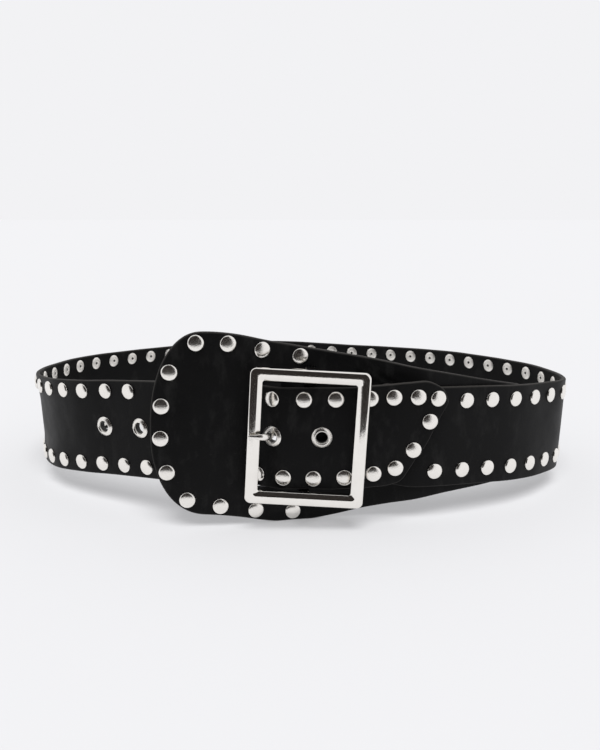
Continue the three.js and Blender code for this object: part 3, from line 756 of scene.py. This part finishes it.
def leather_paint():
    paint = Paint("black_leather")
    shader = paint.shader
    mottle = paint.texture("ShaderNodeTexNoise", 55, Detail=4, Roughness=0.6).outputs["Fac"]
    pores = paint.texture("ShaderNodeTexVoronoi", 1150, Randomness=1).outputs["Distance"]
    grain = paint.texture("ShaderNodeTexNoise", 2600, Detail=3).outputs["Fac"]
    swell = paint.texture("ShaderNodeTexNoise", 42, Detail=2, Roughness=0.45).outputs["Fac"]
    streaks = paint.texture(
        "ShaderNodeTexNoise", 60, stretch=(2.5, 1, 1), turn=(0, 0.3, 0), Detail=5, Roughness=0.7
    ).outputs["Fac"]
    rim = paint.attribute("rim")
    wear = paint.attribute("wear")
    rubbed = paint.spread(streaks, 0.52, 0.75, 0, 1)
    colour = paint.mix(mottle, (0.0016, 0.0016, 0.0017, 1), (0.0034, 0.0033, 0.0034, 1))
    colour = paint.mix(paint.math("MULTIPLY", rubbed, 0.5), colour, (0.013, 0.0128, 0.0125, 1))
    scuffs = paint.texture(
        "ShaderNodeTexNoise", 260, stretch=(1, 1, 14), turn=(0.25, 0, 0), Detail=2
    ).outputs["Fac"]
    scuffed = paint.spread(scuffs, 0.72, 0.78, 0, 0.35)
    colour = paint.mix(scuffed, colour, (0.03, 0.0295, 0.029, 1))
    colour = paint.mix(paint.math("MULTIPLY", wear, 0.6), colour, (0.022, 0.0215, 0.021, 1))
    # The cut edges are lighter: partly the raw edge's own colour, partly a painted highlight.
    colour = paint.mix(paint.math("MULTIPLY", rim, 0.75), colour, (0.03, 0.028, 0.026, 1))
    paint.link(colour, shader.inputs["Base Color"])
    rough = paint.spread(mottle, 0.3, 0.7, 0.4, 0.52)
    rough = paint.math("ADD", rough, paint.math("MULTIPLY", rim, 0.2))
    paint.link(rough, shader.inputs["Roughness"])
    shader.inputs["Specular IOR Level"].default_value = 0.1
    bent = paint.bump(swell, 0.5, 0.0012)
    bent = paint.bump(pores, 0.25, 0.00012, bent)
    bent = paint.bump(grain, 0.3, 0.00005, bent)
    paint.link(bent, shader.inputs["Normal"])
    return paint.material


def nickel_paint(name, smoothest, roughest, speckled):
    """Plated metal, dull in its bores and dimples, and darkened there by painted shade."""
    paint = Paint(name)
    shader = paint.shader
    mottle = paint.texture("ShaderNodeTexNoise", 160, Detail=4, Roughness=0.65).outputs["Fac"]
    scratches = paint.texture(
        "ShaderNodeTexNoise", 900, stretch=(1, 1, 12), turn=(0.3, 0.7, 0.2), Detail=3
    ).outputs["Fac"]
    hollow_shade = paint.attribute("hollow_shade")
    colour = paint.mix(mottle, (0.86, 0.83, 0.78, 1), (0.96, 0.935, 0.89, 1))
    # Painted shade: points deep in a bore or dimple are mixed towards near-black and lose their metal.
    colour = paint.mix(hollow_shade, colour, (0.012, 0.011, 0.01, 1))
    paint.link(colour, shader.inputs["Base Color"])
    paint.link(paint.math("SUBTRACT", 1, hollow_shade), shader.inputs["Metallic"])
    rough = paint.spread(scratches, 0.3, 0.75, smoothest, roughest)
    rough = paint.math("ADD", rough, paint.math("MULTIPLY", hollow_shade, 0.4))
    rough = paint.math("ADD", rough, paint.math("MULTIPLY", paint.attribute("dull"), 0.4))
    paint.link(rough, shader.inputs["Roughness"])
    speckle = paint.texture("ShaderNodeTexNoise", 1700, Detail=2).outputs["Fac"]
    bent = paint.bump(mottle, 0.05, 0.0003)
    bent = paint.bump(speckle, speckled, 0.0003, bent)
    paint.link(bent, shader.inputs["Normal"])
    return paint.material


def plain_paint(name, colour, roughness):
    paint = Paint(name)
    paint.shader.inputs["Base Color"].default_value = colour
    paint.shader.inputs["Roughness"].default_value = roughness
    return paint.material


LEATHER_PAINT = leather_paint()
NICKEL_PAINT = nickel_paint("nickel", 0.04, 0.12, 0.02)
CAP_PAINT = nickel_paint("nickel_caps", 0.16, 0.26, 0.14)
for node_name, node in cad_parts.items():
    node.data.materials.clear()
    node.data.materials.append(LEATHER_PAINT if node_name in ("strap", "panel") else NICKEL_PAINT)


# Rivets: distance along the strap and height above its lower edge

def right_share(distance):
    return smoothstep(distance, loop_end - STRAP_WIDTH * 2.2, loop_end)


def loop_studs():
    high = np.arange(row_start, tip_on_loop - TIP_CLEAR, STUD_PITCH)
    low = np.arange(row_start + ROW_STAGGER - LOW_PITCH, tip_on_loop + TIP_LOW_ROOM, LOW_PITCH)
    high_inset = HIGH_INSET + (HIGH_INSET_RIGHT - HIGH_INSET) * right_share(high)
    low_inset = LOW_INSET + (LOW_INSET_RIGHT - LOW_INSET) * right_share(low)
    return np.vstack([np.column_stack([high, STRAP_WIDTH - high_inset]), np.column_stack([low, low_inset])])


all_loop = loop_studs()
set_studs = all_loop[all_loop[:, 0] <= seam_start + BACK_CAP_RADIUS]
seam_studs = all_loop[all_loop[:, 0] > seam_start + BACK_CAP_RADIUS]
tail_studs = np.column_stack([TAIL_STUDS["back"], TAIL_STUDS["up"]]) * STRAP_WIDTH
eyelet_spots = np.array([(PRONG_EYELET + count * EYELET_PITCH, EYELET_HEIGHT) for count in EYELET_PLACES])
panel_studs = panel_stud_places()


def dimple(along, up, spots, radius, depth):
    """How far the leather is drawn in round its rivets."""
    pull = np.zeros(along.shape)
    for spot_along, spot_up in spots:
        near = np.abs(along - spot_along) < 3 * radius
        away = np.hypot(along[near] - spot_along, up[near] - spot_up)
        pull[near] -= depth * np.exp(-((away / radius) ** 2))
    return pull


# Where the strap bends and how deep it is dented, and how wide and deep the metal draws the leather in
LEFT_BEND = 236
LEFT_DENT = 1.2
RIGHT_BEND = 690
STUD_PULL = (5.5, 0.22)
EYELET_PULL = (6.5, 0.2)

# The panel's creases: their middle along it and up, their direction, and their depth
CREASE_ALONG = 108
CREASE_UP = 71
CREASE_WAY = (0.87, -0.5)
CREASE_DEPTH = 0.6


def strap_relief(along, up, side):
    spots = np.vstack([set_studs, seam_studs, tail_studs])
    pull = side * dimple(along, up, spots, *STUD_PULL)
    pull += side * dimple(along, up, eyelet_spots, *EYELET_PULL)
    edge = np.clip(np.abs(up / STRAP_WIDTH - 0.5) * 2, 0, 1)
    free = smoothstep(along, row_start, row_start + 30)
    free = free * (1 - smoothstep(along, seam_start - 40, seam_start))
    ripple = np.sin(along * 0.21) * 0.15 + np.sin(along * 0.093 + up * 0.05) * 0.3
    middle = smoothstep(up, 6, 16) * (1 - smoothstep(up, 34, 46))
    dent = LEFT_DENT * np.exp(-(((along - LEFT_BEND) / 28) ** 2)) * middle
    return pull - dent + free * ripple * (0.35 + 0.65 * edge**2)


def strap_shade(along, side):
    left_bend = np.exp(-(((along - LEFT_BEND) / 14) ** 2))
    right_bend = np.exp(-(((along - RIGHT_BEND) / 22) ** 2))
    return np.clip(0.5 * left_bend + right_bend, 0, 1) * (0.6 if side > 0 else 0.2)


def creases(along, up):
    """Short slanting folds of the panel beside the buckle's upper right corner, where the belt pulls."""
    way_along, way_up = CREASE_WAY
    right = along - CREASE_ALONG
    above = up - CREASE_UP
    across = -right * way_up + above * way_along
    run = right * way_along + above * way_up
    patch = np.exp(-((across / 6) ** 2) - (run / 17) ** 2)
    return CREASE_DEPTH * patch * np.sin(across * 1.5 + 0.4 * np.sin(run * 0.3))


def panel_relief(along, up, side):
    pull = side * dimple(along, up, panel_studs, *STUD_PULL)
    return pull + creases(along, up)


def spaced(*stretches):
    """Stations from (start, end, step) stretches that follow one another."""
    found = []
    for start, end, step in stretches:
        count = max(1, int(round((end - start) / step)))
        found += list(np.linspace(start, end, count + 1)[:-1])
    return np.array(found + [stretches[-1][1]])


def with_end_insets(stations):
    insets = np.array([0.8, 0.5, 0.25, 0.08])
    end = stations[-1]
    return np.concatenate([stations[stations < end - 1], end - insets, [end]])


start_steps = TIP_ROUND * (1 - np.cos(np.linspace(0.02, 1, 9)[:-1] * math.pi / 2))
start_steps = np.concatenate([[0], start_steps])
strap_stations = spaced(
    (TIP_ROUND, 40, 1.2),
    (40, bend_start - 2, 1.8),
    (bend_start - 2, row_start - 10, 0.9),
    (row_start - 10, fold_middle - 20, 1.9),
    (fold_middle - 20, fold_middle + 10, 0.6),
    (fold_middle + 10, strap_line.length, 1.5),
)
strap_stations = with_end_insets(np.concatenate([start_steps, strap_stations]))
strap = leather_sheet(
    "strap_leather",
    strap_place,
    strap_edges,
    strap_stations,
    STRAP_WIDTH,
    26,
    strap_thickness,
    loop_lean,
    strap_relief,
    strap_shade,
    LEATHER_PAINT,
)
corner_steps = PANEL_CORNER_LENGTH * (1 - np.cos(np.linspace(0.012, 1, 30)[:-1] * math.pi / 2))
panel_stations = np.concatenate([[0], corner_steps, spaced((PANEL_CORNER_LENGTH, PANEL_LENGTH, 1.8))])
panel = leather_sheet(
    "panel_leather",
    panel_sheet_place,
    panel_edges,
    with_end_insets(panel_stations),
    PANEL_HEIGHT,
    52,
    lambda along: np.full(along.shape, float(LEATHER)),
    lambda along: np.zeros(along.shape),
    panel_relief,
    lambda along, side: np.zeros(along.shape),
    LEATHER_PAINT,
)
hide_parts("strap")
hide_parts("panel")


def strap_face(along, up, side=1):
    """The point and direction of the strap's face at a distance along it and a height above its edge."""
    at, out = strap_place(np.array(float(along)))
    lean = math.radians(float(loop_lean(along)))
    look = out * math.cos(lean) - np.array([0, 0, math.sin(lean)])
    spot = at + np.array([0, 0, up]) + out * up * math.tan(lean)
    relief = float(strap_relief(np.array([[along]]), np.array([[up]]), side)[0, 0])
    return spot + look * (side * float(strap_thickness(along)) / 2 + relief), look * side


def panel_face(from_left, up, side=1):
    at, out = panel_sheet_place(np.array(float(from_left)))
    spot = at + np.array([0, 0, up])
    relief = float(panel_relief(np.array([[from_left]]), np.array([[up]]), side)[0, 0])
    return spot + out * (side * HALF + relief), out * side


# Turned profiles of the caps: radius and height above the leather
CAP_PROFILE = [
    (0, 1.5),
    (0.8, 1.485),
    (1.7, 1.42),
    (2.6, 1.29),
    (3.3, 1.1),
    (3.7, 0.86),
    (3.9, 0.55),
    (3.98, 0.15),
    (3.97, -0.1),
    (3.8, -0.22),
    (0, -0.22),
]
BACK_PROFILE = [
    (0, 0.05),
    (0.45, 0.08),
    (0.7, 0.3),
    (0.95, 0.56),
    (1.5, 0.7),
    (2.4, 0.66),
    (3.1, 0.5),
    (3.6, 0.26),
    (3.85, 0.05),
    (3.8, -0.15),
    (0, -0.15),
]
# Radius of the back cap's middle dimple, which gets painted shade
BACK_HOLLOW = 0.75

# How dull the back caps, the eyelets and the prong are, from 0 to 1
BACK_DULL = 0.75
EYELET_DULL = 0.15
PRONG_DULL = 0.45


def rivet_heap(heap, front, back):
    cap_points, cap_faces = lathe(CAP_PROFILE)
    back_points, back_faces = lathe(BACK_PROFILE, 24)
    heap.add(set_on(cap_points, *front), cap_faces)
    # The back cap's middle dimple is painted dark as shade.
    in_dimple = np.hypot(back_points[:, 0], back_points[:, 1]) < BACK_HOLLOW
    hollow_shade = in_dimple & (back_points[:, 2] > 0)
    heap.add(set_on(back_points, *back), back_faces, hollow_shade.astype(float), BACK_DULL)


def rivets(name, spots, face, nodes):
    heap = Heap()
    for along, up in spots:
        rivet_heap(heap, face(along, up), face(along, up, -1))
    made = heap.object(name, CAP_PAINT, "nickel", 60)
    if nodes:
        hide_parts(*nodes)
    return made


def numbered(name, count):
    return [f"{name}_{index + 1}" for index in range(count)]


rivets("loop_rivets", set_studs, strap_face, [])
rivets("tail_rivets", tail_studs, strap_face, numbered("tail_stud", len(tail_studs)))
rivets("panel_rivets", panel_studs, panel_face, numbered("panel_stud", len(panel_studs)))


def seam_rivets():
    heap = Heap()
    for along, up in seam_studs:
        spot, look = strap_face(along, up)
        behind = spot - look * (2 * LEATHER + GAP)
        rivet_heap(heap, (spot, look), (behind, -look))
    made = heap.object("seam_rivets", CAP_PAINT, "nickel", 60)
    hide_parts(*numbered("seam_stud", len(seam_studs)))


seam_rivets()


def eyelets():
    bore = EYELET_BORE
    under = -LEATHER
    profile = [
        (bore, under - 0.3),
        (bore + 0.35, under - 0.6),
        (bore + 1.0, under - 0.65),
        (4.1, under - 0.35),
        (4.2, under - 0.1),
        (4.0, under + 0.1),
        (bore + 0.6, under + 0.1),
        (bore + 0.6, -0.1),
        (EYELET_FLANGE - 0.2, -0.1),
        (EYELET_FLANGE, 0.1),
        (EYELET_FLANGE - 0.12, 0.26),
        (EYELET_FLANGE - 0.45, 0.52),
        (EYELET_FLANGE - 0.9, 0.86),
        (EYELET_FLANGE - 1.3, 1.1),
        (bore + 0.75, 1.16),
        (bore + 0.45, 1.04),
        (bore + 0.15, 0.66),
        (bore, 0),
    ]
    heap = Heap()
    points, faces = lathe(profile, 40, closed=True)
    # Painted shade darkens the bore's wall, most deeply low in the bore.
    in_bore = np.hypot(points[:, 0], points[:, 1]) < bore + 0.1
    hollow_shade = np.where(in_bore, np.clip(1.2 - points[:, 2] * 2.4, 0, 1), 0)
    for along, up in eyelet_spots:
        heap.add(set_on(points, *strap_face(along, up)), faces, hollow_shade, EYELET_DULL)
    made = heap.object("eyelet_rings", CAP_PAINT, "nickel", 60)
    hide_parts(*numbered("eyelet", len(eyelet_spots)))


eyelets()


def drill(along, up, radius, deep):
    points, faces = lathe([(0, 1.5), (radius, 1.5), (radius, -deep), (0, -deep)], 40)
    return set_on(points, *strap_face(along, up)), faces


def block(low, high):
    x0, y0, z0 = low
    x1, y1, z1 = high
    points = [(x, y, z) for x in (x0, x1) for y in (y0, y1) for z in (z0, z1)]
    faces = [(0, 1, 3, 2), (4, 6, 7, 5), (0, 4, 5, 1), (2, 3, 7, 6), (0, 2, 6, 4), (1, 5, 7, 3)]
    return points, faces


slot_y = tail_y + HALF + GAP / 2
prong_half = (PRONG_WIDTH + 5 * GAP) / 2
prong_slot = block(
    (BUCKLE_X + CENTRE_BAR_WIDTH - HALF_BUCKLE / 2, slot_y, BUCKLE_LIFT - PRONG_DROP - prong_half),
    (BUCKLE_X + CENTRE_BAR_WIDTH, buckle_y, BUCKLE_LIFT - PRONG_DROP + prong_half),
)
cut(strap, [drill(along, up, EYELET_BORE + 0.4, LEATHER + 0.9) for along, up in eyelet_spots] + [prong_slot])
slot_half = STRAP_WIDTH / 2 + SLOT_MARGIN
slot_middle = FRONT_LIFT + STRAP_WIDTH / 2
panel_slot = block(
    (BUCKLE_X - SLOT_LEFT, buckle_y - 4 * LEATHER, slot_middle - slot_half),
    (BUCKLE_X - SLOT_RIGHT, buckle_y + 4 * LEATHER, slot_middle + slot_half),
)
cut(panel, [panel_slot])


# Buckle: points in the buckle's own frame, then turned and moved as the frame's buckle group is

def buckle_to_loop(points, drop=0):
    turn = math.radians(BUCKLE_TURN)
    x, y, z = points[:, 0], points[:, 1], points[:, 2] - drop
    turned_x = x * math.cos(turn) + z * math.sin(turn)
    turned_z = -x * math.sin(turn) + z * math.cos(turn)
    return np.column_stack([turned_x + BUCKLE_X, y + frame_back_y, turned_z + BUCKLE_LIFT])


def square_ring(inset, corner, steps=10):
    """A rectangle with round corners, inset from the buckle's outer edge."""
    half_x = BUCKLE_WIDTH / 2 - inset - corner
    half_z = BUCKLE_HEIGHT / 2 - inset - corner
    ring = []
    for quarter, (sign_x, sign_z) in enumerate([(1, 1), (-1, 1), (-1, -1), (1, -1)]):
        for turn in np.linspace(0, math.pi / 2, steps) + quarter * math.pi / 2:
            x = sign_x * half_x + corner * math.cos(turn)
            z = sign_z * half_z + corner * math.sin(turn)
            ring.append((x, z))
    return np.array(ring)


# The bar's section: distance in from the outer edge, and depth forward from the back
BAR = table(
    "inset depth",
    (0, 1.0),
    (0, 4.0),
    (0.12, 4.45),
    (0.42, 4.8),
    (0.85, 4.96),
    (1.3, 5.0),
    (3.75, 5.0),
    (3.9, 4.96),
    (5.8, 3.95),
    (6.0, 3.7),
    (6.0, 0.8),
    (5.8, 0.3),
    (5.3, 0),
    (0.9, 0),
    (0.3, 0.25),
)


def buckle_metal():
    heap = Heap()
    rings = []
    for inset, depth in zip(BAR["inset"], BAR["depth"]):
        ring = square_ring(inset, 3.0 - 1.9 * inset / BAR_WIDTH)
        rings.append(np.column_stack([ring[:, 0], np.full(len(ring), -depth), ring[:, 1]]))
    sides = len(rings[0])
    count = len(rings)
    faces = []
    for ring in range(count):
        low = ring * sides
        high = (ring + 1) % count * sides
        for side in range(sides):
            after = (side + 1) % sides
            faces.append((low + side, low + after, high + after, high + side))
    heap.add(buckle_to_loop(np.vstack(rings)), faces)
    inner = BUCKLE_HEIGHT / 2 - BAR_WIDTH + 4 * GAP
    outer = BUCKLE_HEIGHT / 2 - 0.9
    post_y = centre_bar_y + CENTRE_BAR_DEPTH / 2
    half_bar = CENTRE_BAR_WIDTH / 2
    boxes = [block((-half_bar, centre_bar_y - CENTRE_BAR_DEPTH / 2, -outer), (half_bar, post_y, outer))]
    boxes.append(block((-half_bar, -0.1, inner), (half_bar, post_y, outer)))
    boxes.append(block((-half_bar, -0.1, -outer), (half_bar, post_y, -inner)))
    for points, box_faces in boxes:
        heap.add(buckle_to_loop(np.array(points, float)), box_faces)
    made = heap.object("buckle_metal", NICKEL_PAINT, "nickel", 38)
    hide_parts("buckle_frame")


buckle_metal()


def prong_metal():
    depth = buckle_y - tail_y
    places = np.column_stack([-PRONG["left"] * HALF_BUCKLE, PRONG["deep"] * depth])
    middle = Line(places)
    knots = [middle.nearest(x, y) for x, y in places]
    thick = smooth(knots, PRONG["thick"])
    rise = smooth(knots, PRONG["rise"] * PRONG_WIDTH)
    distances = np.linspace(0, middle.length, 90)
    spots = middle.at(distances)
    way = np.gradient(spots, axis=0)
    way = way / np.linalg.norm(way, axis=1, keepdims=True)
    across = np.column_stack([-way[:, 1], way[:, 0]])
    sides = 20
    turn = np.arange(sides) / sides * 2 * math.pi
    share = thick(distances)
    tip = np.sqrt(np.clip((middle.length - distances) / 1.4, 0, 1) * 0.96 + 0.04)
    half_thick = share * PRONG_THICKNESS / 2 * tip
    half_wide = PRONG_WIDTH / 2 * (0.15 + 0.85 * np.minimum(share, 1)) * tip
    x = spots[:, 0:1] + across[:, 0:1] * half_thick[:, None] * np.cos(turn)
    y = spots[:, 1:2] + across[:, 1:2] * half_thick[:, None] * np.cos(turn)
    z = rise(distances)[:, None] + half_wide[:, None] * np.sin(turn)
    points = np.stack([x, y + tail_y - frame_back_y, z], axis=-1).reshape(-1, 3)
    faces = []
    for ring in range(len(distances) - 1):
        for side in range(sides):
            a = ring * sides + side
            b = ring * sides + (side + 1) % sides
            faces.append((a, b, b + sides, a + sides))
    last = (len(distances) - 1) * sides
    faces.append(list(range(sides)))
    faces.append([last + side for side in range(sides)])
    heap = Heap()
    heap.add(buckle_to_loop(points, PRONG_DROP), faces, dull=PRONG_DULL)
    wall = PRONG_LOOP_WALL
    half_x = CENTRE_BAR_WIDTH / 2 + GAP
    half_y = CENTRE_BAR_DEPTH / 2 + GAP
    half_z = PRONG_WIDTH / 2
    walls = [
        ((-half_x - wall, -half_y - wall), (half_x + wall, -half_y)),
        ((-half_x - wall, half_y), (half_x + wall, half_y + wall)),
        ((-half_x - wall, -half_y), (-half_x, half_y)),
        ((half_x, -half_y), (half_x + wall, half_y)),
    ]
    for (x0, y0), (x1, y1) in walls:
        corners, box_faces = block((x0, y0 + centre_bar_y, -half_z), (x1, y1 + centre_bar_y, half_z))
        heap.add(buckle_to_loop(np.array(corners, float), PRONG_DROP), box_faces)
    made = heap.object("prong_metal", NICKEL_PAINT, "nickel", 50)
    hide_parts("prong")


prong_metal()


# Studio: the floor ends just below the picture, and a dark card behind the camera shows in the metal

FLOOR_FRONT = -287
FLOOR_REACH = 3000
FLOOR_COLOUR = (0.31, 0.31, 0.315, 1)
FLOOR_GLOW = 0.3
STUDIO_WHITE = (0.888, 0.888, 0.905, 1)
CARD_COLOUR = (0.013, 0.009, 0.007, 1)
CARD_Y = -760
CARD_LEFT = -1000
CARD_RIGHT = 420
CARD_LOW = -145
CARD_HIGH = 1800
KEY_FROM = (0.03, -0.52, 0.85)
KEY_ENERGY = 4.3
KEY_ANGLE = 36


def stage_plane(name, corners, material):
    mesh = bpy.data.meshes.new(name)
    mesh.from_pydata([Vector(corner) * MM for corner in corners], [], [(0, 1, 2, 3)])
    mesh.materials.append(material)
    made = bpy.data.objects.new(name, mesh)
    bpy.context.scene.collection.objects.link(made)
    return made


def studio():
    scene = bpy.context.scene
    scene.view_settings.view_transform = "Standard"
    world = bpy.data.worlds.new("studio")
    world.use_nodes = True
    background = world.node_tree.nodes["Background"]
    background.inputs["Color"].default_value = STUDIO_WHITE
    background.inputs["Strength"].default_value = 1
    scene.world = world
    pale = plain_paint("pale_floor", FLOOR_COLOUR, 0.9)
    floor_shader = pale.node_tree.nodes["Principled BSDF"]
    floor_shader.inputs["Specular IOR Level"].default_value = 0
    floor_shader.inputs["Emission Color"].default_value = STUDIO_WHITE
    floor_shader.inputs["Emission Strength"].default_value = FLOOR_GLOW
    floor = [
        (-FLOOR_REACH, FLOOR_FRONT, 0),
        (FLOOR_REACH, FLOOR_FRONT, 0),
        (FLOOR_REACH, FLOOR_REACH, 0),
        (-FLOOR_REACH, FLOOR_REACH, 0),
    ]
    stage_plane("floor", floor, pale)
    dark = plain_paint("dark_card", CARD_COLOUR, 0.9)
    card = [
        (CARD_LEFT, CARD_Y, CARD_LOW),
        (CARD_RIGHT, CARD_Y, CARD_LOW),
        (CARD_RIGHT, CARD_Y, CARD_HIGH),
        (CARD_LEFT, CARD_Y, CARD_HIGH),
    ]
    shade = stage_plane("dark_card", card, dark)
    shade.visible_camera = False
    shade.visible_shadow = False
    shade.visible_diffuse = False
    sun = bpy.data.lights.new("key", "SUN")
    sun.energy = KEY_ENERGY
    sun.angle = math.radians(KEY_ANGLE)
    key = bpy.data.objects.new("key", sun)
    key.rotation_euler = (-Vector(KEY_FROM)).to_track_quat("-Z", "Y").to_euler()
    key.visible_glossy = False
    bpy.context.scene.collection.objects.link(key)


def camera():
    made = bpy.data.cameras.new("camera")
    made.sensor_width = SENSOR
    made.lens = FOCAL_PIXELS * SENSOR / PICTURE_HEIGHT
    made.clip_start = 0.01
    view = bpy.data.objects.new("camera", made)
    view.location = Vector((np.array(CAMERA_PLACE) + SHIFT) * MM)
    view.rotation_euler = (math.radians(90 - CAMERA_PITCH), 0, 0)
    bpy.context.scene.collection.objects.link(view)
    bpy.context.scene.camera = view


studio()
camera()
